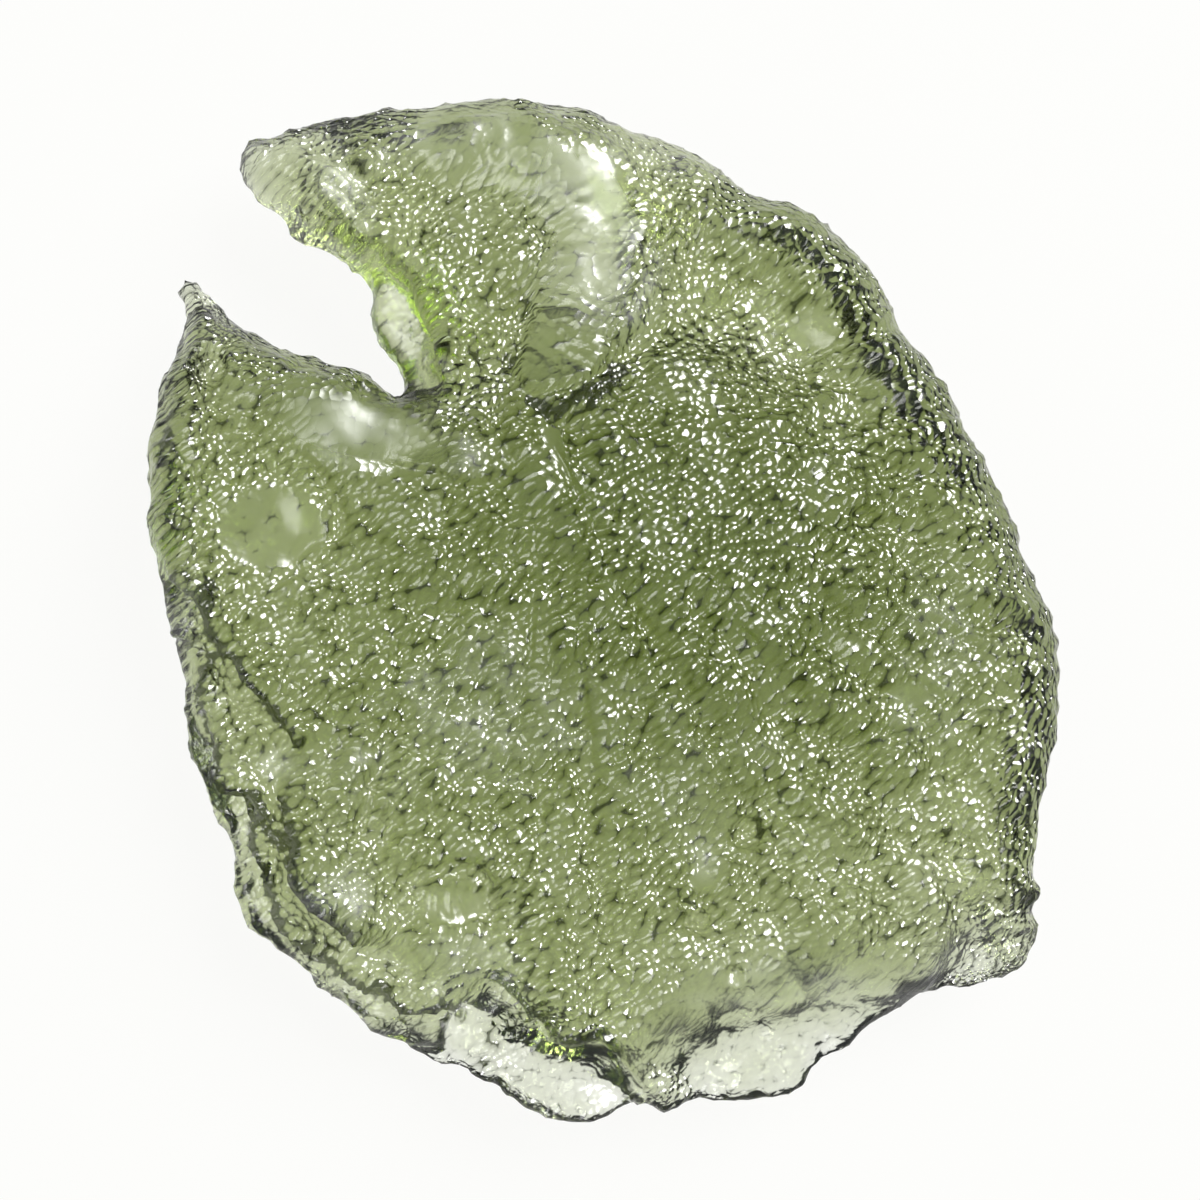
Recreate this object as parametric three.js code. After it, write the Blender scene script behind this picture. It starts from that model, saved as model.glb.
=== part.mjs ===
// A moldavite: one natural piece of green impact glass, cracked from a larger drop and etched by the soil.
// It lies on the small flat of its underside. Its horn and its tooth, with the notch between them, point
// to the upper left, and the folded lobe runs down from the upper edge towards the middle.
// Millimetres, +Z up, the origin in the middle of the rest plane under the stone's box.

import * as THREE from "three";
import { ImprovedNoise } from "three/addons/math/ImprovedNoise.js";

// Driving dimensions
const WIDTH = 30.4; // across, along X
const LENGTH = 34.15; // from the lowest plate to the top edge, along Y
const CROWN = 3.1; // height of the upper face over the rim's middle plane, in the middle of the stone
const KEEL = 3.65; // depth of the under face below that plane there, before the rest spot is worn flat
const REST_DEPTH = 3.3; // depth at which the underside is worn flat
const FALL = 1.1; // how far each face has fallen back towards that plane near the rim
const LOWER_FALL = 0.45; // how much further it falls towards the lower edge
const THINNEST = 0.45; // thickness of the thinnest plates

// How finely the surface is divided
const RIM_STEP = 0.6;
const UPPER_STEP = 0.58;
const UNDER_STEP = 0.8;
const EDGE_INSET = 0.26;

// The outline seen from above, clockwise from the tip of the horn.
const OUTLINE = [
  // upper edge, from the horn to the first nick
  [-12.15, 15.3], [-10.4, 16.1], [-7.75, 16.6], [-5.4, 16.85], [-3.25, 17.1], [-1.75, 16.9], [-0.25, 16.65],
  [0.35, 16.35], [2.6, 15.55], [4.2, 14.65], [4.6, 14.1],
  // upper right shoulder, with its stepped nicks
  [5.45, 13.75], [6.05, 13.75], [6.75, 13.35], [7.75, 12.65], [9.25, 10.95], [9.65, 10.25], [9.85, 9.55],
  [10.15, 9.2], [10.15, 8.85], [10.6, 8.55], [11.1, 7.95], [11.35, 7.25], [11.75, 6.85], [12.05, 6.05],
  [12.45, 5.7], [13.1, 4.2], [13.75, 2.75], [13.85, 2.3],
  // right edge
  [14.75, 0.45], [15.2, -1.65], [15.05, -4.15], [14.6, -6.15], [14.55, -6.7], [14.4, -7.15], [14.5, -7.8],
  [14.35, -8.95], [14.55, -9.35], [14.35, -9.7], [14.65, -10.45], [14.15, -11.8], [13.65, -12.15],
  // lower right break
  [12.75, -12.45], [11.25, -12.6], [10.45, -12.85], [10.05, -13.25], [9.25, -13.65], [7.95, -14.7],
  [7.25, -15.1], [6.6, -15.9], [6.1, -16.25],
  // lower edge, with the thin plates
  [4.6, -16.3], [3.25, -16.35], [1.95, -16.7], [1.15, -16.35], [0.45, -16.7], [-0.55, -17.05],
  [-1.3, -16.95], [-2.05, -16.75], [-3.25, -15.85], [-3.9, -15.65], [-4.8, -15.25], [-5.45, -15.25],
  // lower left edge
  [-6.0, -15.0], [-6.55, -14.55], [-7.9, -13.9], [-8.4, -13.35], [-9.25, -12.85], [-10.55, -11.55],
  [-11.95, -10.5], [-12.2, -9.9], [-12.45, -8.15], [-13.25, -6.15], [-13.95, -4.25], [-14.15, -1.8],
  // left edge
  [-14.65, 0.7], [-15.15, 3.2], [-15.05, 3.7], [-15.2, 5.3], [-15.1, 5.95], [-14.75, 6.95], [-14.9, 7.3],
  [-14.8, 7.75], [-14.45, 8.35], [-14.0, 9.75],
  // tooth
  [-14.05, 10.25], [-14.35, 10.65], [-14.3, 11.0], [-14.0, 11.2], [-13.65, 11.1],
  // lower side of the notch
  [-12.15, 9.6], [-10.65, 8.85], [-9.15, 8.35], [-8.35, 8.25], [-7.75, 8.0], [-6.9, 7.15], [-6.6, 7.05],
  // upper side of the notch, back to the horn
  [-6.75, 7.5], [-6.65, 7.95], [-7.05, 8.35], [-7.75, 9.45], [-7.85, 9.95], [-7.7, 10.45], [-7.75, 10.95],
  [-8.05, 11.25], [-8.55, 11.45], [-9.05, 11.9], [-10.45, 12.5], [-10.4, 12.85], [-10.6, 13.05],
  [-11.25, 13.35], [-11.65, 13.75], [-11.9, 14.25],
];

// How far in from the outline the stone comes to its full thickness, at hand-picked places round it.
const RIM_WIDTHS = [
  { at: [15, -3], width: 1.0 },
  { at: [12, 6], width: 1.1 },
  { at: [7, 13], width: 1.4 },
  { at: [-2, 17], width: 1.5 },
  { at: [-11, 15], width: 2.4 },
  { at: [-9, 12], width: 1.8 },
  { at: [-7.5, 9], width: 1.3 },
  { at: [-10, 8.5], width: 1.2 },
  { at: [-14, 10.5], width: 1.8 },
  { at: [-15, 3], width: 1.3 },
  { at: [-14, -4], width: 0.8 },
  { at: [-12, -9.5], width: 0.55 },
  { at: [-8.5, -13], width: 0.6 },
  { at: [-4, -15.5], width: 0.8 },
  { at: [3, -16.3], width: 0.8 },
  { at: [9, -13.8], width: 0.9 },
  { at: [14, -10], width: 1.1 },
];

// Lines that the larger forms follow, seen from above.
const LOBE = [[-4.4, 15.5], [-2.5, 15.3], [-0.9, 14.2], [0, 12.6], [0, 10.6], [-0.5, 9.0], [-1.35, 7.75]];
const LOBE_FLANK = [[1.35, 13.2], [1.7, 11.6], [1.6, 10.2]];
const HORN_RIDGE = [[-9.6, 14.6], [-9.05, 13.6], [-7.65, 12.3], [-6.7, 10.7], [-5.7, 9.0], [-5.2, 7.7]];
const THROAT = [[-3.3, 9.6], [-2.8, 8.0], [-2.0, 6.4], [-1.1, 4.7], [-0.3, 3.4]];
const WEDGE_FACE = [[-2.3, 6.1], [-1.9, 5.3], [-1.3, 4.2], [-0.6, 3.2]];
const WEDGE_EDGE = [[-1.4, 6.9], [-1.1, 6.05], [-0.45, 4.8], [0, 3.8], [0.5, 3.25]];
const UPPER_LEDGE = [
  [-14, 0.9], [-12.85, -0.65], [-11.85, -1.95], [-10.85, -3.2], [-10.1, -4.3], [-10.3, -6.0], [-10.0, -7.5],
  [-9.6, -9.0], [-8.6, -10.3], [-6.8, -11.1], [-5.0, -11.9],
];
const LOWER_LEDGE = [
  [-14.1, -1.0], [-13.1, -3.1], [-12.8, -4.6], [-12.3, -5.9], [-11.6, -7.1], [-11.3, -8.5], [-10.8, -9.8],
  [-10.1, -10.9], [-8.8, -11.9], [-7.6, -12.7], [-6.3, -13.2], [-4.8, -12.9],
];
const LEFT_BREAK = [
  [-7.2, -14.2], [-5.3, -14.4], [-3.9, -14.5], [-2.7, -14.2], [-1.6, -14.5], [0.2, -14.9], [1.2, -15.9],
];
const RIGHT_BREAK = [
  [1.9, -16.4], [2.3, -14.5], [3.4, -13.2], [5.9, -12.6], [8.6, -12.4], [11.2, -12.7], [12.8, -12.5],
];
const PLATE_STEP = [[-3.9, -12.4], [-3.1, -13.1], [-2.0, -14.2], [-0.9, -14.7], [0.4, -15.2], [1.2, -16.2]];
const ARCH_SHELF = [[-6.9, -9.0], [-6.2, -8.4], [-5.3, -8.2], [-4.4, -8.25], [-3.6, -8.7]];
const SHOULDER_RIDGE = [[5.9, 13.3], [7.6, 11.9], [9.0, 10.2], [10.1, 8.2], [11.3, 6.2], [12.2, 4.2], [12.9, 1.6]];

// Steps run out over this length past the ends of their lines.
const END_FADE = 1.6;

// The upper face is highest about the first spot, and the under face lowest about the second.
const CROWN_MIDDLE = [1.2, 3.2];
const KEEL_MIDDLE = [0.2, 0.4];

// The etched grooves fan out from this spot towards the right and lower edges.
const FAN = { at: [-1.3, 6.3], from: 3, full: 8 };

const noise = new ImprovedNoise();
const smooth = (low, high, v) => THREE.MathUtils.smoothstep(v, low, high);

// A rounded spot that is 1 in its middle and fades over the two reaches, turned by an angle in degrees.
const spot = (x, y, [cx, cy], [reachX, reachY], turn = 0) => {
  const a = THREE.MathUtils.degToRad(turn);
  const u = ((x - cx) * Math.cos(a) + (y - cy) * Math.sin(a)) / reachX;
  const v = ((y - cy) * Math.cos(a) - (x - cx) * Math.sin(a)) / reachY;
  return Math.exp(-(u * u + v * v));
};

// The nearest place of an open line: how far off it is, whether the point is on its right, 1, or left, -1,
// and how far past the line's ends the point lies.
const nearest = (x, y, line) => {
  let best = { distance: Infinity, side: 1, past: 0 };
  for (let i = 0; i + 1 < line.length; i++) {
    const [ax, ay] = line[i];
    const [bx, by] = line[i + 1];
    const length = Math.hypot(bx - ax, by - ay);
    const free = ((x - ax) * (bx - ax) + (y - ay) * (by - ay)) / (length * length);
    const share = THREE.MathUtils.clamp(free, 0, 1);
    const distance = Math.hypot(x - ax - share * (bx - ax), y - ay - share * (by - ay));
    if (distance < best.distance) {
      const cross = (bx - ax) * (y - ay) - (by - ay) * (x - ax);
      const before = i === 0 ? Math.max(-free, 0) * length : 0;
      const after = i + 2 === line.length ? Math.max(free - 1, 0) * length : 0;
      best = { distance, side: cross < 0 ? 1 : -1, past: before + after };
    }
  }
  return best;
};

// A rounded band along a line: 1 over its core, 0 past its width.
const band = (x, y, line, width, core = 0.35) =>
  1 - smooth(width * core, width, nearest(x, y, line).distance);

// A step across a line: 0 on its left, 1 on its right, fading out past the line's ends and its reach.
const step = (x, y, line, ramp, reach) => {
  const { distance, side, past } = nearest(x, y, line);
  const fade = (1 - smooth(reach * 0.6, reach, distance)) * (1 - smooth(0, END_FADE, past));
  return smooth(-ramp / 2, ramp / 2, side * distance) * fade;
};

// Uneven swells of the surface, of about the given size.
const lumps = (x, y, size, layer) => noise.noise(x / size, y / size, layer);

// Grooves that fan out, wider apart further from their focus.
const fanGrooves = (x, y) => {
  const dx = x - FAN.at[0];
  const dy = y - FAN.at[1];
  const reach = Math.hypot(dx, dy);
  const angle = Math.atan2(dy, dx);
  const inFan = smooth(FAN.from, FAN.full, reach) * smooth(-2.45, -2.1, angle) * (1 - smooth(0.35, 0.8, angle));
  const coarse = noise.noise(angle * 7.5, reach * 0.16, 3.3);
  const fine = noise.noise(angle * 15, reach * 0.3, 8.1);
  return inFan * (0.7 * coarse + 0.35 * fine);
};

// Shallow cups with sharp rims between them, as slow etching leaves them: 0 in a cup's middle, 1 at its rim.
const hash = (i, j, layer) => {
  const v = Math.sin(i * 127.1 + j * 311.7 + layer * 74.7) * 43758.5453;
  return v - Math.floor(v);
};
const cups = (x, y, size, layer) => {
  const u = x / size + 0.5 * lumps(x, y, 2.5 * size, layer + 30);
  const v = y / size + 0.5 * lumps(x, y, 2.5 * size, layer + 40);
  const [column, row] = [Math.floor(u), Math.floor(v)];
  let least = Infinity;
  for (let i = column - 1; i <= column + 1; i++) {
    for (let j = row - 1; j <= row + 1; j++) {
      const dx = u - i - hash(i, j, layer);
      const dy = v - j - hash(j, i, layer + 5);
      least = Math.min(least, dx * dx + dy * dy);
    }
  }
  return Math.min(least / 0.5, 1);
};

// How much of its thickness the stone has lost to the rim and towards the lower edge, on each face.
const fall = (x, y, middle) => FALL * (1 - spot(x, y, middle, [10.5, 10.5])) + LOWER_FALL * smooth(-1, 13, -y);

// The upper face, as a height over the rim's middle plane.
const upperFace = (x, y) => {
  let z = CROWN - fall(x, y, CROWN_MIDDLE);
  z += 0.5 * spot(x, y, [4.5, 4.5], [3.4, 2.6], -25); // the swell right of the wedge
  z += 0.6 * spot(x, y, [5, 0.5], [6.5, 5.5]); // the thick middle
  z -= 0.8 * spot(x, y, [5.8, 9.0], [3.0, 2.2], -30); // the pale hollow at the upper right
  z -= 0.4 * spot(x, y, [-10.8, 2.6], [2.6, 2.1]); // the smooth window at the left
  z -= 0.6 * spot(x, y, [-4.4, 11.6], [1.7, 2.5], 12); // the bowl between horn and lobe
  z -= 0.5 * spot(x, y, [-11, 14.6], [2.6, 1.8], 20); // the horn thins to its tip
  z -= 1.0 * spot(x, y, [-7.0, 9.6], [1.0, 1.9], 20); // the thin flap beside the notch
  z -= 0.9 * spot(x, y, [-14, 10.4], [1.2, 1.6]); // the tooth thins to its tip
  z -= 0.55 * spot(x, y, [-12.9, 8.0], [0.8, 0.8]); // the ring pit
  z += 0.3 * spot(x, y, [-4.45, 4.95], [0.8, 0.7]); // the pale knob
  z -= 0.6 * spot(x, y, [4.7, -7.4], [0.75, 0.65]); // the crescent pit
  z -= 0.55 * spot(x, y, [3.1, -10.2], [0.6, 0.6]); // the round pit
  z -= 0.4 * spot(x, y, [6.4, -4.1], [1.5, 0.8], -10); // the windows towards the right edge
  z -= 0.4 * spot(x, y, [11.2, -7.8], [1.4, 1.0], -15);
  z -= 0.35 * spot(x, y, [11.0, -5.2], [0.7, 0.7]);
  z -= 0.9 * step(x, y, UPPER_LEDGE, 0.7, 4.5);
  z -= 0.8 * step(x, y, LOWER_LEDGE, 0.6, 3);
  z -= 1.4 * step(x, y, LEFT_BREAK, 1.2, 5);
  z -= 1.7 * step(x, y, RIGHT_BREAK, 3.6, 7);
  z -= 0.35 * step(x, y, PLATE_STEP, 0.5, 3);
  z -= 0.7 * spot(x, y, [1.7, -15.2], [1.3, 1.6]); // the low tongue between the plates
  z -= 0.45 * step(x, y, ARCH_SHELF, 0.7, 2.4);
  z -= 0.3 * band(x, y, THROAT, 1.8, 0.1);
  z += 0.4 * band(x, y, WEDGE_FACE, 1.3, 0.1); // the wedge, smooth and thick
  z -= 0.35 * step(x, y, WEDGE_EDGE, 0.4, 1.6);
  z += 0.45 * band(x, y, HORN_RIDGE, 1.5, 0.1);
  z += 0.5 * band(x, y, SHOULDER_RIDGE, 2.6, 0.1);
  z += 0.55 * band(x, y, LOBE, 2.0, 0.25);
  z += 0.35 * band(x, y, LOBE_FLANK, 1.3, 0.1);
  z += 0.42 * fanGrooves(x, y);
  z += 0.25 * lumps(x, y, 2.6, 0.7) + 0.15 * lumps(x, y, 1.3, 4.2);
  z += 0.2 * (cups(x, y, 1.9, 1) - 0.5);
  return z;
};

// The under face, as a height over the same plane, kept below the upper face.
const underFace = (x, y) => {
  let z = -KEEL + fall(x, y, KEEL_MIDDLE);
  z += 1.4 * spot(x, y, [-0.2, 11.8], [4.0, 4.4]); // the hollow under the lobe
  z += 0.6 * band(x, y, LOBE, 3.8, 0);
  z += 1.0 * spot(x, y, [5.8, 9.0], [3.4, 2.6], -30);
  z += 1.1 * spot(x, y, [-5.4, 6.2], [1.8, 1.5]);
  z += 0.7 * spot(x, y, [11, -10.2], [2.6, 2.6]);
  z += 1.0 * spot(x, y, [-11, 14.4], [3.6, 2.6], 20);
  z += 0.8 * band(x, y, HORN_RIDGE, 3.4, 0);
  z += 1.0 * spot(x, y, [-6.9, 9.2], [1.8, 2.4], 20);
  z += 0.9 * spot(x, y, [-14, 10.2], [1.8, 2.2]);
  z += 0.4 * spot(x, y, [-10.8, 2.6], [3, 2.6]);
  z += 1.2 * step(x, y, LEFT_BREAK, 2.0, 5);
  z += 1.4 * step(x, y, RIGHT_BREAK, 4.5, 7);
  z -= 0.9 * band(x, y, WEDGE_FACE, 2.4, 0.1); // the thickest place, under the wedge
  z += 0.3 * lumps(x, y, 3.1, 11.4) + 0.15 * lumps(x, y, 1.6, 15.9);
  z += 0.3 * (cups(x, y, 2.7, 3) - 0.5);
  return Math.min(z, upperFace(x, y) - THINNEST);
};

// The outline as a closed smooth line, fitted to the driving width and length about the middle.
const outline = (() => {
  const curve = new THREE.CatmullRomCurve3(
    OUTLINE.map(([x, y]) => new THREE.Vector3(x, y, 0)), true, "centripetal");
  const count = Math.round(curve.getLength() / RIM_STEP);
  const points = curve.getSpacedPoints(count).slice(0, count);
  const box = new THREE.Box3().setFromPoints(points);
  const middle = box.getCenter(new THREE.Vector3());
  const size = box.getSize(new THREE.Vector3());
  return points.map((p) => [(p.x - middle.x) * (WIDTH / size.x), (p.y - middle.y) * (LENGTH / size.y)]);
})();

const closedOutline = [...outline, outline[0]];
const rimDistance = (x, y) => nearest(x, y, closedOutline).distance;

const inside = (x, y) => {
  let odd = false;
  for (let i = 0; i < outline.length; i++) {
    const [ax, ay] = closedOutline[i];
    const [bx, by] = closedOutline[i + 1];
    if (ay > y !== by > y && x < ((bx - ax) * (y - ay)) / (by - ay) + ax) odd = !odd;
  }
  return odd;
};

const rimWidth = (x, y) => {
  let sum = 0;
  let weights = 0;
  for (const { at, width } of RIM_WIDTHS) {
    const weight = 1 / (0.3 + (x - at[0]) ** 2 + (y - at[1]) ** 2) ** 2;
    sum += weight * width;
    weights += weight;
  }
  return sum / weights;
};

// The rounded edge: how much of a face's full height is reached at this distance in from the outline.
const edgeRise = (x, y, distance) => {
  const share = Math.min(distance / rimWidth(x, y), 1);
  return (1 - (1 - share) ** 2.2) ** 0.6;
};

// The rim's own height wanders above and below the middle plane, well between the two faces.
const rimHeight = (x, y) => {
  const free = 1.1 * lumps(x, y, 9, 21.3) + 0.25 * lumps(x, y, 2.2, 25.1);
  const [low, high] = [underFace(x, y), upperFace(x, y)];
  return THREE.MathUtils.clamp(free, low + 0.3 * (high - low), high - 0.3 * (high - low));
};

// Lattice points inside the outline, with one ring close behind the edge.
const innerPoints = (spacing) => {
  const points = [];
  outline.forEach(([x, y], i) => {
    const [px, py] = outline[(i + outline.length - 1) % outline.length];
    const [nx, ny] = outline[(i + 1) % outline.length];
    const length = Math.hypot(nx - px, ny - py);
    const inset = [x + (EDGE_INSET * (ny - py)) / length, y - (EDGE_INSET * (nx - px)) / length];
    const apart = points.every(([qx, qy]) => Math.hypot(inset[0] - qx, inset[1] - qy) > 0.3);
    if (apart && inside(...inset) && rimDistance(...inset) > EDGE_INSET * 0.9) points.push(inset);
  });
  const rowHeight = (spacing * Math.sqrt(3)) / 2;
  const rows = Math.ceil(LENGTH / 2 / rowHeight);
  const columns = Math.ceil(WIDTH / 2 / spacing);
  for (let row = -rows; row <= rows; row++) {
    for (let column = -columns; column <= columns; column++) {
      const x = (column + (row & 1 ? 0.5 : 0)) * spacing;
      const y = row * rowHeight;
      if (inside(x, y) && rimDistance(x, y) > EDGE_INSET + spacing * 0.55) points.push([x, y]);
    }
  }
  return points;
};

// Delaunay triangles of a set of points, one point added at a time.
const triangulate = (points) => {
  const far = 1000;
  const all = [...points, [-far, -far], [far, -far], [0, far]];
  const circle = (a, b, c) => {
    const [ax, ay] = all[a];
    const [bx, by] = all[b];
    const [cx, cy] = all[c];
    const d = 2 * (ax * (by - cy) + bx * (cy - ay) + cx * (ay - by));
    const [a2, b2, c2] = [ax * ax + ay * ay, bx * bx + by * by, cx * cx + cy * cy];
    const x = (a2 * (by - cy) + b2 * (cy - ay) + c2 * (ay - by)) / d;
    const y = (a2 * (cx - bx) + b2 * (ax - cx) + c2 * (bx - ax)) / d;
    return { corners: [a, b, c], x, y, reach: (ax - x) ** 2 + (ay - y) ** 2 };
  };
  let triangles = [circle(points.length, points.length + 1, points.length + 2)];
  points.forEach(([x, y], i) => {
    const edges = new Map();
    triangles = triangles.filter((t) => {
      if ((x - t.x) ** 2 + (y - t.y) ** 2 > t.reach) return true;
      t.corners.forEach((a, k) => {
        const b = t.corners[(k + 1) % 3];
        if (!edges.delete(b + "," + a)) edges.set(a + "," + b, [a, b]);
      });
      return false;
    });
    for (const [a, b] of edges.values()) triangles.push(circle(a, b, i));
  });
  return triangles.map((t) => t.corners).filter((corners) => corners.every((c) => c < points.length));
};

// One face of the stone as triangles that turn left seen from above, over the outline's own points first.
const flatFace = (spacing) => {
  const points = [...outline, ...innerPoints(spacing)];
  const corners = triangulate(points).filter(([a, b, c]) =>
    inside((points[a][0] + points[b][0] + points[c][0]) / 3, (points[a][1] + points[b][1] + points[c][1]) / 3));
  return { points, corners };
};

// The free end of the lobe hangs a little over the ground below it.
const lobeOverhang = (x, y) => {
  const end = LOBE[LOBE.length - 1];
  return 0.35 * band(x, y, LOBE, 1.75, 0.5) * spot(x, y, end, [1.6, 1.6]);
};

const makeStone = () => {
  const upper = flatFace(UPPER_STEP);
  const under = flatFace(UNDER_STEP);
  const vertices = [];
  const place = (x, y, face) => {
    const rim = rimHeight(x, y);
    const rise = edgeRise(x, y, rimDistance(x, y));
    return rim + (face(x, y) - rim) * rise;
  };
  upper.points.forEach(([x, y], i) => {
    const z = i < outline.length ? rimHeight(x, y) : place(x, y, upperFace);
    vertices.push(x, y - (i < outline.length ? 0 : lobeOverhang(x, y)), z);
  });
  under.points.slice(outline.length).forEach(([x, y]) => {
    vertices.push(x, y, Math.max(place(x, y, underFace), -REST_DEPTH));
  });
  const shift = upper.points.length - outline.length;
  const underCorner = (c) => (c < outline.length ? c : c + shift);
  const index = [
    ...upper.corners.flat(),
    ...under.corners.flatMap(([a, b, c]) => [underCorner(a), underCorner(c), underCorner(b)]),
  ];
  const geometry = new THREE.BufferGeometry();
  geometry.setAttribute("position", new THREE.Float32BufferAttribute(vertices, 3));
  geometry.setIndex(index);
  geometry.translate(0, 0, REST_DEPTH);
  return geometry;
};

const glass = new THREE.MeshStandardMaterial({ color: 0x7d8a55, roughness: 0.25, metalness: 0 });
const stone = new THREE.Mesh(makeStone(), glass);
stone.name = "moldavite";

const part = new THREE.Group();
part.add(stone);
export default part;
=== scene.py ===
import math

import bpy
import numpy as np
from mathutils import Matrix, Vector, noise


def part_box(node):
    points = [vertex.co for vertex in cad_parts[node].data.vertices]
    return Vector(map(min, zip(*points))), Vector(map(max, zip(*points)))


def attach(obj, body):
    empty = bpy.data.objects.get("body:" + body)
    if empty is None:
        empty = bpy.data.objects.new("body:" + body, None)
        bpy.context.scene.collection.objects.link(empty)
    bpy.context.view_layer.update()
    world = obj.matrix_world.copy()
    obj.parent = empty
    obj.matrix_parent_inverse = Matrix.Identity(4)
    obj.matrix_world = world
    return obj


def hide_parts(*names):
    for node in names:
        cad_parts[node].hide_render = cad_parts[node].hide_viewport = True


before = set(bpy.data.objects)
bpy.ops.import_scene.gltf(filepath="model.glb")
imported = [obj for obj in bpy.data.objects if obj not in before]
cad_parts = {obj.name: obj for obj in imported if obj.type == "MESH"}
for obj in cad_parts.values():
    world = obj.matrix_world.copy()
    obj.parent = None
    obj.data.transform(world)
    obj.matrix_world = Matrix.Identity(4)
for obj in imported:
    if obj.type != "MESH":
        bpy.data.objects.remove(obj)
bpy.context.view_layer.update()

# The stone's form
# One natural piece of green impact glass. Its body, ledges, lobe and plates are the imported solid's;
# here the solid's skin is divided finely enough to carry the etching that the soil left on it.
MM = 0.001
CORNER_DIGITS = 4  # corners that agree to this many decimals of a millimetre are one
FINER_ROUNDS = 2  # each makes four triangles of one
END_SHARE = 0.375  # a new middle takes this share of each end of its edge
ACROSS_SHARE = 0.125  # and this share of each corner across from it
AROUND_SHARE = 0.375  # a softened corner takes this share of its neighbours' mean
KEPT_SHARP = 0.45  # how much of each corner's own place survives the smoothing


def welded(mesh_object):
    """The solid's corners in millimetres, with doubles joined, and its triangles."""
    mesh = mesh_object.data
    corners = np.empty(len(mesh.vertices) * 3)
    mesh.vertices.foreach_get("co", corners)
    mesh.calc_loop_triangles()
    triangles = np.empty(len(mesh.loop_triangles) * 3, int)
    mesh.loop_triangles.foreach_get("vertices", triangles)
    rounded = np.round(corners.reshape(-1, 3) / MM, CORNER_DIGITS)
    points, joined = np.unique(rounded, axis=0, return_inverse=True)
    return points, joined.reshape(-1)[triangles].reshape(-1, 3)


def finer(points, triangles):
    """One round of smooth subdivision: four triangles for each one."""
    count = len(points)
    ends = np.concatenate([triangles[:, pair] for pair in ([0, 1], [1, 2], [2, 0])])
    ends = np.sort(ends, axis=1)
    edges, edge_of = np.unique(ends, axis=0, return_inverse=True)
    edge_of = edge_of.reshape(3, -1).T
    across = np.zeros((len(edges), 3))
    np.add.at(across, edge_of[:, 0], points[triangles[:, 2]])
    np.add.at(across, edge_of[:, 1], points[triangles[:, 0]])
    np.add.at(across, edge_of[:, 2], points[triangles[:, 1]])
    middles = END_SHARE * (points[edges[:, 0]] + points[edges[:, 1]]) + ACROSS_SHARE * across
    valence = np.bincount(edges.reshape(-1), minlength=count)[:, None]
    around = np.zeros((count, 3))
    np.add.at(around, edges[:, 0], points[edges[:, 1]])
    np.add.at(around, edges[:, 1], points[edges[:, 0]])
    softened = (1 - AROUND_SHARE) * points + AROUND_SHARE * around / valence
    a, b, c = triangles.T
    ab, bc, ca = (edge_of + count).T
    quarters = [(a, ab, ca), (b, bc, ab), (c, ca, bc), (ab, bc, ca)]
    split = np.concatenate([np.stack(quarter, axis=1) for quarter in quarters])
    return np.concatenate([softened + KEPT_SHARP * (points - softened), middles]), split


def normals_of(points, triangles):
    """The skin's outward direction at each point."""
    a, b, c = (points[triangles[:, k]] for k in range(3))
    face = np.cross(b - a, c - a)
    total = np.zeros_like(points)
    for k in range(3):
        np.add.at(total, triangles[:, k], face)
    return total / np.maximum(np.linalg.norm(total, axis=1, keepdims=True), 1e-12)


skin, triangles = welded(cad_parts["moldavite"])
for _ in range(FINER_ROUNDS):
    skin, triangles = finer(skin, triangles)
outward = normals_of(skin, triangles)

# The stone's etching
# Soil water has etched the glass into cups, pits and grooves that fan out from under the lobe, and left
# smooth windows between them. Lines are places seen from above, in millimetres from the stone's middle.
X, Y, Z = skin.T


def smooth(low, high, v):
    """0 below low, 1 above high, an even rise between them."""
    t = np.clip((v - low) / (high - low), 0, 1)
    return t * t * (3 - 2 * t)


def spot(at, reach, turn=0):
    """1 in the middle of a rounded spot, fading over its two reaches."""
    a = math.radians(turn)
    u = ((X - at[0]) * math.cos(a) + (Y - at[1]) * math.sin(a)) / reach[0]
    v = ((Y - at[1]) * math.cos(a) - (X - at[0]) * math.sin(a)) / reach[1]
    return np.exp(-(u * u + v * v))


def nearest(line):
    """Distance to a line, 1 on its right or -1 on its left, the length along it, and past its ends."""
    best = np.full(len(X), np.inf)
    side, along, past = np.ones(len(X)), np.zeros(len(X)), np.zeros(len(X))
    passed = 0.0
    for number, ((ax, ay), (bx, by)) in enumerate(zip(line, line[1:])):
        length = math.hypot(bx - ax, by - ay)
        free = ((X - ax) * (bx - ax) + (Y - ay) * (by - ay)) / length**2
        share = np.clip(free, 0, 1)
        distance = np.hypot(X - ax - share * (bx - ax), Y - ay - share * (by - ay))
        closer = distance < best
        cross = (bx - ax) * (Y - ay) - (by - ay) * (X - ax)
        before = np.maximum(-free, 0) * length * (number == 0)
        after = np.maximum(free - 1, 0) * length * (number == len(line) - 2)
        best = np.where(closer, distance, best)
        side = np.where(closer, np.where(cross < 0, 1.0, -1.0), side)
        along = np.where(closer, passed + share * length, along)
        past = np.where(closer, before + after, past)
        passed += length
    return best, side, along, past


def band(line, width, core=0.0):
    """1 on a line and over its core, 0 past its width."""
    return 1 - smooth(width * core, width, nearest(line)[0])


SCARP_END = 0.6  # how far a scarp runs out past the ends of its line


def scarp(line, ramp, reach):
    """A sharp drop from a line's left side to its right, 1 in all, that fades with distance."""
    distance, side, _, past = nearest(line)
    fade = (1 - smooth(0, reach, distance)) * (1 - smooth(0, SCARP_END, past))
    return -0.5 * side * np.clip(distance / ramp, 0, 1) * fade


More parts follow.
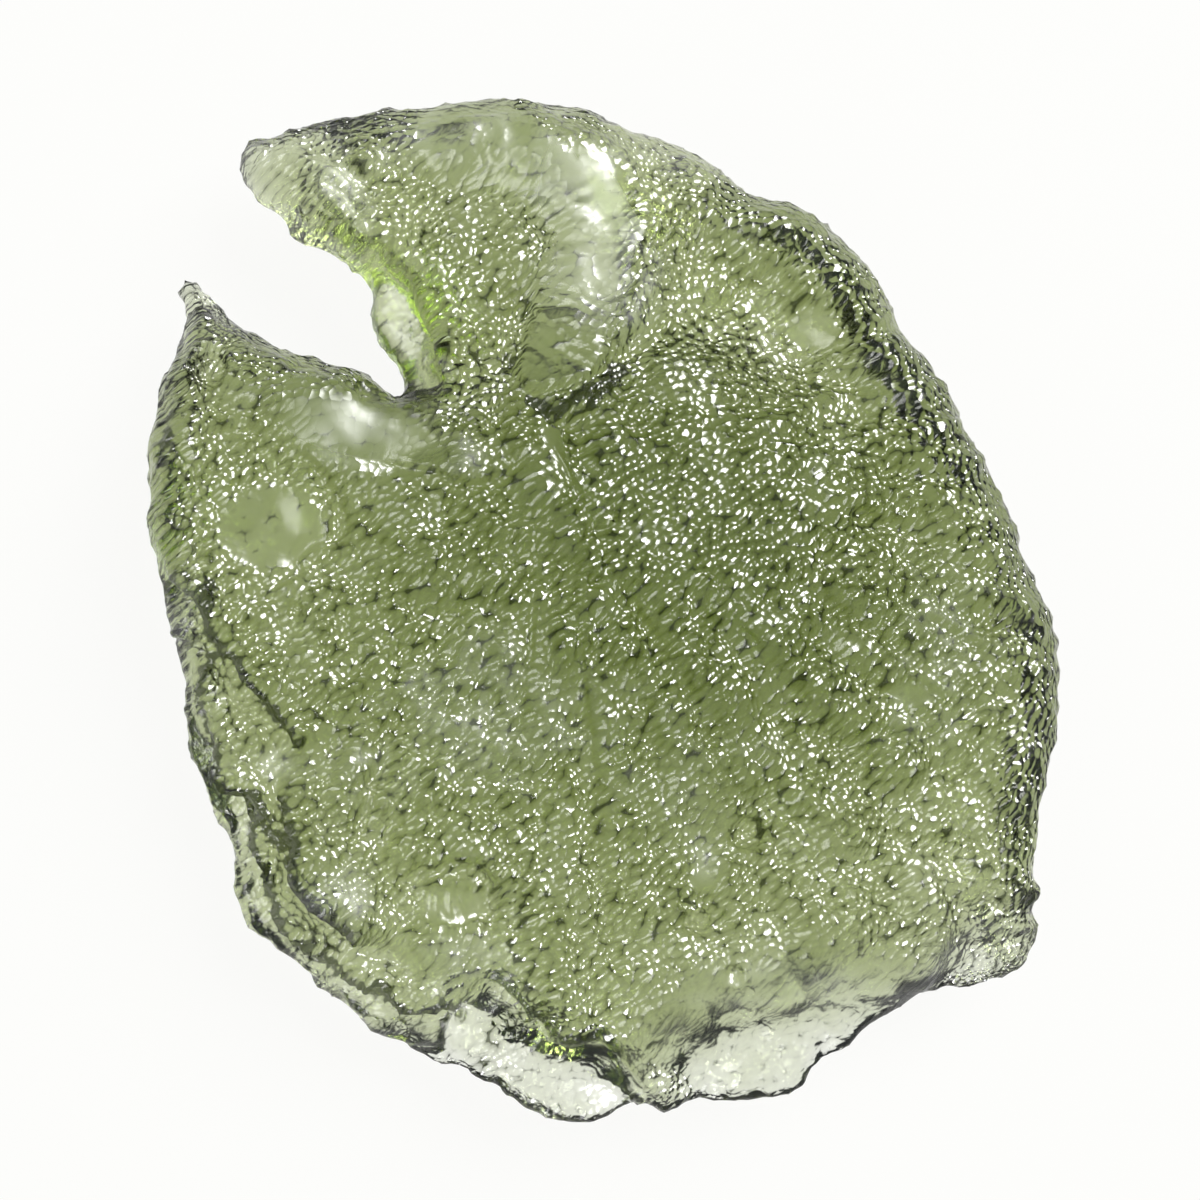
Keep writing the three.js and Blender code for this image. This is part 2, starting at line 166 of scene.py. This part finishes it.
def lumps(size, seed, x=X, y=Y, z=Z):
    """Uneven swells of about the given size, from -1 to 1."""
    shift = 17.3 * seed
    spots = zip(x / size + shift, y / size, z / size)
    return np.array([noise.noise(Vector(p)) for p in spots])


def cups(size, seed):
    """Shallow cups with sharp rims between them: -0.5 in a cup's middle, about 0.5 at its rim."""
    shift = 23.7 * seed
    spots = zip(X / size + shift, Y / size, Z / size)
    from_middle = np.array([noise.voronoi(Vector(p))[0][0] for p in spots])
    return np.clip(from_middle / 0.8, 0, 1) ** 2 - 0.5


LOBE = [(-4.4, 15.5), (-2.5, 15.3), (-0.9, 14.2), (0.0, 12.6), (0.0, 10.6), (-0.5, 9.0), (-1.35, 7.75)]
LOBE_EDGE = [
    (-2.1, 10.3), (-2.45, 9.1), (-2.7, 7.9), (-2.45, 7.35), (-2.0, 7.2), (-1.5, 7.3), (-0.8, 7.4),
    (-0.2, 7.75), (0.1, 8.3), (0.33, 9.0), (0.55, 9.8), (0.73, 10.7), (0.67, 11.2), (0.85, 11.9),
    (1.15, 12.35), (0.3, 13.7), (-0.6, 14.5),
]
FLANK_EDGE = [(0.9, 9.0), (1.3, 9.7), (1.8, 10.4), (1.75, 10.7), (1.55, 11.3), (1.2, 11.7)]
PALE_ARC = [(-6.9, 15.4), (-5.6, 15.8), (-4.3, 15.95), (-3.4, 16.0), (-3.2, 15.5), (-3.4, 14.9)]
BOWL_RIDGE = [(-5.7, 11.7), (-4.9, 9.65), (-4.4, 9.1), (-4.2, 8.5), (-4.05, 7.9)]
HORN_LINES = [
    [(-9.1, 13.7), (-7.7, 12.3), (-6.75, 10.7), (-5.75, 9.0), (-5.2, 7.7)],
    [(-11.4, 15.1), (-9.9, 14.9), (-8.7, 14.3), (-7.6, 13.1)],
    [(-7.8, 11.5), (-7.1, 10.4), (-6.5, 9.2), (-6.0, 8.0)],
]
WEDGE_EDGE = [(0.5, 3.25), (0.0, 3.8), (-0.45, 4.8), (-1.1, 6.05), (-1.4, 6.9)]
KNOB_LINE = [(-6.7, 4.8), (-5.3, 4.6), (-4.25, 4.15), (-3.15, 4.5), (-2.6, 4.95)]
WINDOW_CHIP = [
    (-9.6, 5.1), (-9.1, 4.6), (-8.65, 3.85), (-8.4, 3.3), (-8.3, 2.75), (-8.6, 2.15), (-9.5, 2.05),
    (-9.9, 1.7), (-9.8, 1.25), (-10.5, 0.85),
]
LEFT_LINE = [(-13.4, 5.8), (-12.0, 6.05), (-11.25, 6.0)]
LEDGES = [
    [
        (-13.95, 0.9), (-13.4, 0.45), (-13.0, -0.15), (-12.85, -0.65), (-12.4, -1.2), (-11.85, -1.9),
        (-11.35, -2.6), (-10.8, -3.2), (-10.05, -4.25),
    ],
    [
        (-14.0, -0.95), (-13.35, -1.1), (-13.05, -1.5), (-13.4, -2.4), (-13.35, -2.6), (-13.2, -3.1),
        (-13.05, -3.95), (-12.85, -4.5), (-12.65, -5.4), (-12.35, -5.9), (-12.0, -6.25), (-11.65, -7.05),
        (-11.7, -7.65), (-11.1, -8.5), (-11.05, -9.2), (-10.65, -10.35), (-10.15, -10.9),
        (-8.85, -11.85), (-7.7, -12.65), (-7.35, -12.45), (-6.6, -13.25), (-5.85, -13.15),
        (-5.3, -13.0), (-4.8, -12.85),
    ],
    [
        (-12.35, -5.9), (-11.6, -6.1), (-11.2, -6.8), (-10.4, -7.85), (-10.15, -8.55), (-9.8, -9.15),
        (-8.75, -10.2), (-8.2, -10.6),
    ],
    [(-10.4, -6.3), (-10.05, -7.3), (-9.9, -8.3), (-9.45, -9.45), (-9.05, -9.8)],
    [(-4.95, -13.5), (-4.6, -14.0), (-4.5, -14.5), (-4.3, -14.9), (-3.8, -15.4)],
]
PLATE_LINES = [
    [
        (-3.9, -12.4), (-3.4, -12.65), (-3.0, -13.15), (-2.5, -13.9), (-2.15, -13.75), (-1.95, -14.3),
        (-1.35, -14.55), (-0.15, -14.55), (0.3, -14.85), (1.05, -15.8), (1.2, -16.25),
    ],
    [(-0.15, -13.95), (0.35, -14.55), (0.95, -15.15), (1.45, -15.65), (1.85, -16.1)],
    [(-3.2, -15.3), (-2.75, -15.25), (-2.2, -15.5), (-1.9, -16.1), (-1.25, -16.4)],
]
FLAP_EDGE = [(-6.9, 11.6), (-6.1, 11.0), (-5.8, 10.3), (-5.4, 9.2), (-5.3, 8.1), (-5.1, 7.2)]
ARCH = [(-6.55, -8.7), (-5.95, -8.35), (-5.3, -8.2), (-4.55, -8.15), (-4.0, -8.25), (-3.6, -8.6)]

upper = smooth(-0.1, 0.4, outward[:, 2])
under = smooth(0.1, 0.6, -outward[:, 2])

# The grooves fan out from one place under the lobe, over the middle and the right of the stone.
FAN_FOCUS = (-1.3, 6.3)
fan_x, fan_y = X - FAN_FOCUS[0], Y - FAN_FOCUS[1]
fan_reach = np.hypot(fan_x, fan_y)
fan_angle = np.arctan2(fan_y, fan_x)
in_fan = smooth(3, 8, fan_reach) * smooth(-2.6, -2.1, fan_angle) * (1 - smooth(0.4, 0.9, fan_angle))

# Smooth windows, where the etching has spared the glass. Each is nearly level. A row holds its middle,
# its reach along and across, and its turn in degrees.
WINDOWS = [
    ((-10.8, 2.7), (2.4, 1.9), 0),
    ((10.1, -2.7), (1.0, 0.45), 0),
    ((6.9, 9.2), (1.0, 0.9), 0),
    ((-0.3, 14.1), (1.7, 1.1), -40),
    ((-8.0, 6.0), (2.4, 1.1), -15),
    ((3.4, -8.8), (0.7, 0.5), 0),
    ((-4.9, -9.7), (1.4, 0.8), 0),
    ((-1.4, 4.9), (0.6, 1.7), 30),
]
LEVELLING = 0.85  # share of its slope and hump that a window loses
windows = np.zeros(len(X))
levelled = np.zeros(len(X))
for at, reach, turn in WINDOWS:
    here = spot(at, reach, turn)
    windows = np.maximum(windows, smooth(0.4, 0.7, here))
    weight = np.sqrt(here * upper)
    dx, dy = X - at[0], Y - at[1]
    ground = np.stack([dx, dy, dx * dx + dy * dy, np.ones(len(X))], axis=1)
    tilt = np.linalg.lstsq(ground * weight[:, None], Z * weight, rcond=None)[0]
    levelled -= LEVELLING * smooth(0.1, 0.5, here) * (ground[:, :3] @ tilt[:3])

# The smooth thin plates at the lower edge: middle, and reach along and across.
PLATES = [((6.9, -13.9), (6.0, 3.0)), ((-0.6, -15.4), (2.6, 1.6)), ((-5.2, -14.2), (1.4, 1.0))]
plates = np.zeros(len(X))
for at, reach in PLATES:
    plates = np.maximum(plates, smooth(0.25, 0.6, spot(at, reach)))

# Rounded swells and hollows of the upper face: height, middle, reach along and across, and turn.
UPPER_SWELLS = [
    (0.45, (-4.3, 11.3), (1.7, 2.2), 0),  # the bowl's floor
    (0.5, (-1.1, 4.9), (1.0, 2.2), 30),  # the wedge under the lobe
    (0.7, (0.8, 3.6), (4.0, 2.8), 0),  # the ground where the grooves start
    (-0.9, (12.6, -11.4), (1.8, 1.6), 0),  # the thin knob at the lower right corner
    (-0.3, (5.9, 8.8), (2.4, 1.9), 0),  # the hollow at the upper right
]
relief = np.zeros(len(X))
for height, at, reach, turn in UPPER_SWELLS:
    relief += height * spot(at, reach, turn)

# The lobe has a crisp border, and cross ribs over its lower half.
RIB_SPACING = 0.5
RIB_HEIGHT = 0.08
lobe_distance, _, lobe_along, _ = nearest(LOBE)
edge_distance, edge_side, _, _ = nearest(LOBE_EDGE)
on_lobe = (1 - smooth(1.4, 2.1, lobe_distance)) * smooth(-0.3, -0.16, -edge_side * edge_distance)
pale_side = 1 - smooth(0.9, 2.6, edge_distance)
lobe_face = on_lobe * smooth(-0.1, 0.3, -edge_side * edge_distance)
ribs = np.sin(2 * math.pi * (lobe_along + 0.3 * lumps(1.1, 1)) / RIB_SPACING + 0.9 * lobe_distance)
relief += RIB_HEIGHT * ribs * on_lobe * smooth(3.5, 5.0, lobe_along) * (0.6 + lumps(1.3, 13))
relief += 0.25 * scarp(LOBE_EDGE[:9], 0.14, 1.3) + 0.15 * scarp(FLANK_EDGE, 0.2, 0.9)

# Low ridges on the horn and beside the bowl, and small steps under the lobe and about the left window.
RIDGES = [(PALE_ARC, 0.12, 0.35), (BOWL_RIDGE, 0.14, 0.25)]  # line, height and half width
HORN_RIDGE = 0.12
for line, height, width in RIDGES:
    relief += height * band(line, width)
for line in HORN_LINES:
    relief += HORN_RIDGE * band(line, 0.3) * (1 + 0.5 * lumps(0.9, 2))
SMALL_STEPS = [  # line, height, width of its drop, and how far it is felt
    (WEDGE_EDGE, 0.22, 0.15, 0.9),
    (KNOB_LINE, 0.3, 0.1, 0.8),
    (WINDOW_CHIP, 0.26, 0.1, 0.7),
    (LEFT_LINE, 0.2, 0.1, 0.6),
    (ARCH, 0.3, 0.12, 0.8),
]
for line, height, ramp, reach in SMALL_STEPS:
    relief += height * scarp(line, ramp, reach)

# The ledges and plates step down towards the stone's rim, and the lowest ledge shows fine layers.
LEDGE_HEIGHT = 0.7
PLATE_STEP = 0.3
LAYER_SPACING = 0.36
LAYER_HEIGHT = 0.05
for line in LEDGES:
    relief += LEDGE_HEIGHT * scarp(line, 0.14, 1.2) * (1 + 0.5 * lumps(1.1, 3)) - 0.1 * band(line, 0.14)
for line in PLATE_LINES:
    relief += PLATE_STEP * scarp(line, 0.12, 0.7) + 0.15 * band(line, 0.3) * (1 + lumps(0.5, 4))
layer_distance, outer_side, _, _ = nearest(LEDGES[1])
layers = np.sin(2 * math.pi * (layer_distance + 0.3 * lumps(1.5, 5)) / LAYER_SPACING)
relief += LAYER_HEIGHT * layers * (1 - smooth(0.8, 1.6, layer_distance))
arch_ribs = np.sin(2 * math.pi * (X + 0.15 * Y + 0.2 * lumps(1.0, 6)) / RIB_SPACING)
relief += 0.06 * arch_ribs * spot((-4.9, -9.3), (1.6, 1.0))

# Single pits and burst bubbles, each with a low rim: middle, radius and depth.
PITS = [
    ((4.75, -7.3), 0.65, 0.4), ((3.1, -10.2), 0.5, 0.4), ((2.65, -9.5), 0.25, 0.2),
    ((4.35, -11.9), 0.35, 0.3), ((4.85, -12.45), 0.2, 0.2), ((-10.05, 0.05), 0.32, 0.3),
    ((-0.2, 0.95), 0.3, 0.25), ((0.2, 1.55), 0.25, 0.2), ((-12.9, 8.0), 0.7, 0.3),
    ((-4.0, 8.2), 0.3, 0.2), ((-3.1, 8.1), 0.3, 0.2), ((8.5, 3.0), 0.5, 0.25),
]
for at, radius, depth in PITS:
    away = np.hypot(X - at[0], Y - at[1]) / radius
    rim = 0.2 * np.exp(-(((away - 1.15) / 0.2) ** 2))
    relief -= depth * (1 - smooth(0.45, 1.05, away) - rim)

# Grooves of two sizes run along the fan and spare the windows; finer ones show far from its middle.
SWEEP = 9.0  # how many groove widths one radian of the fan holds
GROOVE_DEPTH = 0.48
FINE_GROOVE_DEPTH = 0.05
sweep = fan_angle * SWEEP
level = np.zeros(len(X))
grooves = 0.65 * lumps(1.0, 7, sweep, fan_reach * 0.16, level)
grooves += 0.45 * lumps(0.5, 8, sweep, fan_reach * 0.12, level)
fine_grooves = lumps(0.24, 20, sweep, fan_reach * 0.1, level)
in_fan *= 1 - 0.85 * windows
relief += GROOVE_DEPTH * (0.35 - np.abs(grooves)) * in_fan
relief += FINE_GROOVE_DEPTH * fine_grooves * in_fan * smooth(9, 13, fan_reach)
relief = (relief + levelled) * upper

# The flap beside the notch and the plate below the body lie level at their own heights.
FLAP_TOP = 4.3
PLATE_TOP = 3.3
PLATE_FOOT = 2.7
PLATE_SWELL = 0.2  # the most that levelling raises the plate
distance, side, _, past = nearest(FLAP_EDGE)
on_flap = smooth(-0.2, 1.3, side * distance) * (1 - smooth(2.4, 3.0, distance))
on_flap *= (1 - smooth(0, 1.2, past)) * smooth(6.6, 7.6, Y)
relief += on_flap * (np.minimum(FLAP_TOP - Z, 0) - relief) * upper
distance, side, _, past = nearest(PLATE_LINES[0])
beyond = side * distance + 0.4
on_plate = smooth(0, 0.45, beyond) * (1 - smooth(2.2, 3.0, distance)) * (1 - smooth(0, 0.5, past))
relief += on_plate * (np.minimum(PLATE_TOP - Z, PLATE_SWELL) - relief) * upper
relief += smooth(0, 2.0, on_plate * beyond) * np.minimum(Z - PLATE_FOOT, 0) * under

# These areas are smooth too, though not levelled: patches by chance, the lobe's face, the plates, the
# strip outside the lowest ledge, the flap, and the ground below the notch.
outer_strip = smooth(-0.1, 0.2, outer_side * layer_distance) * (1 - smooth(1.2, 1.8, layer_distance))
for smoothness, area in [
    (0.6, smooth(0.12, 0.4, lumps(1.7, 18) + 0.4 * lumps(0.6, 19))),
    (0.85, lobe_face),
    (0.9, plates),
    (0.75, outer_strip),
    (0.9, on_flap),
    (0.85, smooth(0.25, 0.6, spot((-7.8, 5.7), (3.2, 1.4), -15))),
]:
    windows = np.maximum(windows, smoothness * area)

# Cups of two sizes and small lumps cover the rest.
BIG_CUP_DEPTH = 0.15
SMALL_CUP_DEPTH = 0.09
LUMP_HEIGHT = 0.07
rough = 1 - 0.9 * windows * upper
relief += BIG_CUP_DEPTH * cups(1.15, 9) * (0.15 + 0.85 * rough)
relief += SMALL_CUP_DEPTH * cups(0.62, 11) * rough
relief += LUMP_HEIGHT * lumps(0.45, 10) * rough + 0.04 * lumps(0.6, 21) * plates

# The underside has broad shallow cups, is fuller under the bowl and ends the lobe's hollow gently.
UNDER_CUP_DEPTH = 0.12
UNDER_SWELLS = [  # height, middle, and reach along and across
    (0.5, (-4.3, 11.3), (1.8, 2.2)),
    (0.4, (-1.4, 8.5), (1.1, 0.9)),
    (0.6, (-5.2, 5.9), (1.6, 1.0)),
    (-0.25, (-2.2, 6.6), (1.0, 0.7)),
    (-0.25, (-3.6, 5.3), (1.0, 1.0)),
    (-0.3, (0.0, 11.0), (1.0, 2.5)),
    (-0.8, (12.6, -11.4), (1.8, 1.6)),
]
relief += UNDER_CUP_DEPTH * cups(1.9, 12) * under * (1 - 0.8 * plates)
for height, at, reach in UNDER_SWELLS:
    relief += height * spot(at, reach) * under

# Milky patches: finer etching that scatters light on the lobe, the flap and the ridges. Each has its
# middle, its reach along and across, and its amount.
MILKY_PATCHES = [
    ((-6.8, 9.3), (1.1, 2.0), 0.25), ((-8.0, 5.9), (2.6, 1.0), 0.3), ((-6.5, 15.3), (4.2, 1.4), 0.4),
    ((2.0, 15.0), (4.0, 1.3), 0.4), ((-8.1, 5.5), (1.3, 0.9), 0.6), ((-4.45, 4.95), (0.8, 0.7), 0.5),
    ((-4.0, -3.0), (3.2, 2.4), 0.4), ((-8.4, -5.6), (2.2, 2.2), 0.25), ((-4.7, -11.3), (1.8, 0.7), 0.55),
    ((-4.7, -12.6), (2.6, 1.0), 0.4), ((-10.65, -4.95), (0.7, 0.5), 0.9), ((11.3, -1.6), (2.5, 4.5), 0.25),
    ((3.3, -8.2), (0.5, 0.6), 0.5), ((5.9, 8.8), (2.0, 1.6), 0.15), ((3.0, -5.0), (5.0, 3.5), 0.2),
    ((-13.7, -0.2), (0.5, 1.3), 0.9), ((12.4, -11.3), (1.5, 1.3), 0.6), ((-9.0, -9.6), (1.8, 1.1), 0.45),
    ((7.0, -12.4), (5.0, 1.0), 0.75),
]
FAINTEST_VEIL = 0.12  # anything thinner is clear
veil = 0.35 * band(FLANK_EDGE, 0.9) + 0.3 * band(PALE_ARC, 0.9)
for line in HORN_LINES:
    veil += 0.3 * band(line, 0.7)
for at, reach, amount in MILKY_PATCHES:
    veil += amount * spot(at, reach)
veil *= 0.8 + 0.7 * lumps(1.2, 14) + 0.5 * lumps(0.5, 15)
down_lobe = smooth(0.5, 2.5, lobe_along) * (1 - 0.75 * smooth(7.5, 9.5, lobe_along))
veil = np.maximum(veil, on_lobe * (0.12 + 0.5 * pale_side) * down_lobe)
veil = np.clip((1 + FAINTEST_VEIL) * veil - FAINTEST_VEIL, 0, 1) * upper

# Painted shade: the glass's colour is darkened where shade falls, in the steep ledges, cracks, deep pits,
# hollows, grooves and under the lobe's lip. Each patch has its middle, its reach along and across,
# and its amount.
SHADE_PATCHES = [
    ((-4.1, 8.2), (0.3, 0.5), 0.8), ((-3.1, 8.1), (0.35, 0.5), 0.8), ((2.9, -9.5), (0.35, 0.2), 0.8),
    ((5.1, -7.1), (0.2, 0.6), 0.9), ((4.35, -11.9), (0.35, 0.35), 0.7), ((0.2, 1.55), (0.25, 0.25), 0.7),
    ((-14.3, 5.2), (0.5, 2.0), 0.6), ((-12.9, 0.3), (0.35, 1.2), 0.9), ((-10.3, -7.2), (0.6, 1.6), 0.6),
    ((-9.4, -11.0), (1.6, 0.7), 0.45), ((0.3, 5.2), (1.0, 1.8), 0.35), ((-1.7, 6.4), (0.6, 0.9), 0.5),
    ((9.0, 8.4), (1.2, 2.6), 0.35), ((-12.0, 8.1), (1.2, 0.6), 0.4),
]
painted_shade = np.zeros(len(X))
for line in LEDGES[:4]:
    painted_shade = np.maximum(painted_shade, band(line, 0.5, 0.3))
for line in PLATE_LINES[:1] + [KNOB_LINE, ARCH]:
    painted_shade = np.maximum(painted_shade, 0.45 * band(line, 0.35, 0.2))
# Painted shadow in the gap under the lobe's lip.
under_lip = [(x + 0.3, y - 0.45) for x, y in LOBE_EDGE[3:9]]
painted_shade = np.maximum(painted_shade, 0.8 * band(under_lip, 0.6, 0.2))
for at, reach, amount in SHADE_PATCHES:
    painted_shade = np.maximum(painted_shade, amount * spot(at, reach))
# Painted shade in the hollows of the relief and along the deep fan grooves.
painted_shade = np.maximum(painted_shade, 0.25 * smooth(0.02, 0.25, -relief) * (1 - windows))
painted_shade = np.maximum(painted_shade, 0.35 * smooth(0.2, 0.45, np.abs(grooves)) * in_fan)
painted_shade = smooth(0.15, 0.85, painted_shade * (0.95 + 0.6 * lumps(0.6, 16) + 0.7 * lumps(0.22, 17))) * upper
painted_shade *= (1 - on_lobe) * (1 - 0.9 * spot((-13.75, -0.4), (0.4, 1.0)))

# The finish. Sparkling pits lie in uneven patches with calmer glass between them. Windows have a satin
# shine, and it is softest on the lobe's outer bend and below the notch. The underside is clear with
# faint pits.
ETCHED_FROST = 0.18  # how rough the etched glass is
WINDOW_FROST = 0.06
SATIN_FROST = 0.2
MOST_SATIN = 2.2
UNDER_POLISH = 0.8
satin = windows + 1.2 * on_lobe * spot((0.3, 13.3), (1.6, 2.2)) + 1.2 * spot((-8.2, 6.6), (2.4, 1.0), -15)
satin = np.clip(satin, 0, MOST_SATIN) * upper
calm = 0.5 * smooth(-0.12, 0.22, 0.7 * lumps(1.1, 22) + 0.6 * lumps(0.45, 23))
polish = np.maximum(0.95 * windows, calm) * upper + UNDER_POLISH * under
frost = ETCHED_FROST + (WINDOW_FROST - ETCHED_FROST) * windows * upper + SATIN_FROST * satin
frost *= 1 - under

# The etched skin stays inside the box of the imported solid.
etched = skin + relief[:, None] * outward
low, high = (np.array(corner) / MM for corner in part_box("moldavite"))
etched = np.clip(etched, low, high)

stone_mesh = bpy.data.meshes.new("moldavite_stone")
stone_mesh.from_pydata((etched * MM).tolist(), [], triangles.tolist())
stone_mesh.shade_smooth()
# The mesh carries polish, frost, veil and the painted shade as point attributes.
for name, values in [("polish", polish), ("frost", frost), ("veil", veil), ("painted_shade", painted_shade)]:
    layer = stone_mesh.attributes.new(name, "FLOAT", "POINT")
    layer.data.foreach_set("value", values.astype(np.float32))
stone_mesh.update()
stone = bpy.data.objects.new("moldavite_stone", stone_mesh)
bpy.context.scene.collection.objects.link(stone)


# The stone's glass
# Clear bottle green glass. Its green comes from its depth alone, so thin plates are nearly colourless and
# the body is olive. The etched skin sparkles with tiny pits, and painted shade darkens its cracks and pit
# rims.
class Shade:
    """A socket of a material's nodes. Sums, differences and products add their own Math nodes."""

    def __init__(self, tree, socket=None):
        self.tree = tree
        self.socket = socket

    def node(self, kind, settings=None, sockets=None, output=0):
        """A node of any kind: its settings first, then the values or links of its sockets."""
        made = self.tree.nodes.new(kind)
        for name, value in (settings or {}).items():
            setattr(made, name, value)
        for name, value in (sockets or {}).items():
            if isinstance(value, Shade):
                self.tree.links.new(value.socket, made.inputs[name])
            else:
                made.inputs[name].default_value = value
        return Shade(self.tree, made.outputs[output] if made.outputs else None)

    def maths(self, operation, first, second):
        """A Math node on two values or sockets."""
        return self.node("ShaderNodeMath", {"operation": operation}, {0: first, 1: second})

    def clamped(self, share):
        """The socket times a share, kept between 0 and 1."""
        settings = {"operation": "MULTIPLY", "use_clamp": True}
        return self.node("ShaderNodeMath", settings, {0: self, 1: share})

    def __add__(self, other):
        return self.maths("ADD", self, other)

    def __radd__(self, other):
        return self.maths("ADD", other, self)

    def __sub__(self, other):
        return self.maths("SUBTRACT", self, other)

    def __rsub__(self, other):
        return self.maths("SUBTRACT", other, self)

    def __mul__(self, other):
        return self.maths("MULTIPLY", self, other)

    def __rmul__(self, other):
        return self.maths("MULTIPLY", other, self)


GLASS_IOR = 1.49
DENSITY = 460  # per metre
PASSED = (0.444, 0.52, 0.1)  # share of each colour that a unit of density lets by
CLEAR = (0.97, 0.98, 0.95, 1)
# The dark that the painted shade mixes into the glass's colour.
SHADE_COLOUR = (0.06, 0.065, 0.05, 1)
PITS_PER_METRE = 4000
PIT_DEPTH = 0.00027
PIT_LEAN = (0.5, -0.5, 0)  # leans the pits' pattern, so that it is drawn out less on the sides
RIM_SHADE = 1.2  # painted shade: how dark the rims between the pits are made
MILK_ROUGHNESS = 0.6
MILK_IOR = 1.8

glass = bpy.data.materials.new("moldavite_glass")
glass.use_nodes = True
glass.node_tree.nodes.clear()
shade = Shade(glass.node_tree)
own_place = shade.node("ShaderNodeTexCoord", output=3)
leaned = shade.node("ShaderNodeMapping", {}, {"Vector": own_place, "Rotation": PIT_LEAN})
# The last attribute is the painted shade.
polished, frosted, veiled, shade_mask = (
    shade.node("ShaderNodeAttribute", {"attribute_name": name}, output=2)
    for name in ("polish", "frost", "veil", "painted_shade")
)
coarse = 1 - polished
pit = shade.node(
    "ShaderNodeTexVoronoi", {"voronoi_dimensions": "2D"}, {"Vector": leaned, "Scale": PITS_PER_METRE},
)
bowl = pit * pit
bump = shade.node("ShaderNodeBump", {}, {"Strength": coarse, "Distance": PIT_DEPTH, "Height": bowl})
# Painted shade: the base colour darkens within the shade mask and along the rims between the pits.
shade_specks = (shade_mask + 0.9 * bowl - 0.45).clamped(2.2)
darkness = shade_specks + RIM_SHADE * coarse * bowl
tone = shade.node("ShaderNodeMix", {"data_type": "RGBA"}, {0: darkness, 6: CLEAR, 7: SHADE_COLOUR}, output=2)
surface = shade.node(
    "ShaderNodeBsdfPrincipled", {},
    {
        "Base Color": tone, "Roughness": frosted, "IOR": GLASS_IOR, "Transmission Weight": 1.0,
        "Coat Weight": veiled, "Coat Roughness": MILK_ROUGHNESS, "Coat IOR": MILK_IOR, "Normal": bump,
    },
)
depth = shade.node("ShaderNodeVolumeAbsorption", {}, {"Color": (*PASSED, 1), "Density": DENSITY})
shade.node("ShaderNodeOutputMaterial", {}, {"Surface": surface, "Volume": depth})
stone.data.materials.append(glass)
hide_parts("moldavite")
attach(stone, "root")

# The surface under it
# A plain white lit panel, a hair below the rest plane. It glows evenly, so the stone throws hardly any
# shadow on it and is lit through from below.
FLOOR_WIDTH = 1.2
FLOOR_HEIGHT = -0.0001
GLOW = (1.0, 1.0, 0.982, 1)
GLOW_STRENGTH = 0.937
MATT_GREY = (0.01, 0.01, 0.01, 1)
bpy.ops.mesh.primitive_plane_add(size=FLOOR_WIDTH, location=(0, 0, FLOOR_HEIGHT))
panel = bpy.context.object
panel.name = "lit_panel"
white = bpy.data.materials.new("lit_white")
white.use_nodes = True
panel_face = white.node_tree.nodes["Principled BSDF"]
panel_face.inputs["Base Color"].default_value = MATT_GREY
panel_face.inputs["Roughness"].default_value = 0.9
panel_face.inputs["Emission Color"].default_value = GLOW
panel_face.inputs["Emission Strength"].default_value = GLOW_STRENGTH
panel_face.inputs["Specular IOR Level"].default_value = 0.0
panel.data.materials.append(white)

# Light and camera
# Soft pale light all round, one square studio lamp from the upper right whose glints sparkle on the
# etching, and a weak one from the left. The camera looks straight down, as in the photograph.
SKY = (0.9, 0.95, 1.0, 1)
SKY_STRENGTH = 0.5
world = bpy.data.worlds.new("pale_room")
world.use_nodes = True
world.node_tree.nodes["Background"].inputs["Color"].default_value = SKY
world.node_tree.nodes["Background"].inputs["Strength"].default_value = SKY_STRENGTH
bpy.context.scene.world = world


def softbox(name, direction, distance, size, power):
    """A square lamp that faces the stone from a direction."""
    light = bpy.data.lights.new(name, "AREA")
    light.size = size
    light.energy = power
    lamp = bpy.data.objects.new(name, light)
    towards = Vector(direction).normalized()
    lamp.location = towards * distance
    lamp.rotation_euler = towards.to_track_quat("Z", "Y").to_euler()
    bpy.context.scene.collection.objects.link(lamp)


softbox("key", direction=(0.75, 0.65, 1.0), distance=0.5, size=0.34, power=15.0)
softbox("fill", direction=(-0.75, -0.3, 1.0), distance=0.5, size=0.3, power=2.0)

FRAME_WIDTH = 0.040  # the photograph's width at the height of the stone's rim
RIM_HEIGHT = 0.0033
LENS = 100  # millimetres
SENSOR = 36  # millimetres
AIM = (-0.00007, 0.00037)  # where the middle of the photograph lies
camera_data = bpy.data.cameras.new("from_above")
camera_data.lens = LENS
camera_data.sensor_width = SENSOR
camera_data.clip_start = 0.005
camera = bpy.data.objects.new("from_above", camera_data)
camera.location = (*AIM, RIM_HEIGHT + FRAME_WIDTH * LENS / SENSOR)
bpy.context.scene.collection.objects.link(camera)
bpy.context.scene.camera = camera
bpy.context.scene.view_settings.view_transform = "Standard"
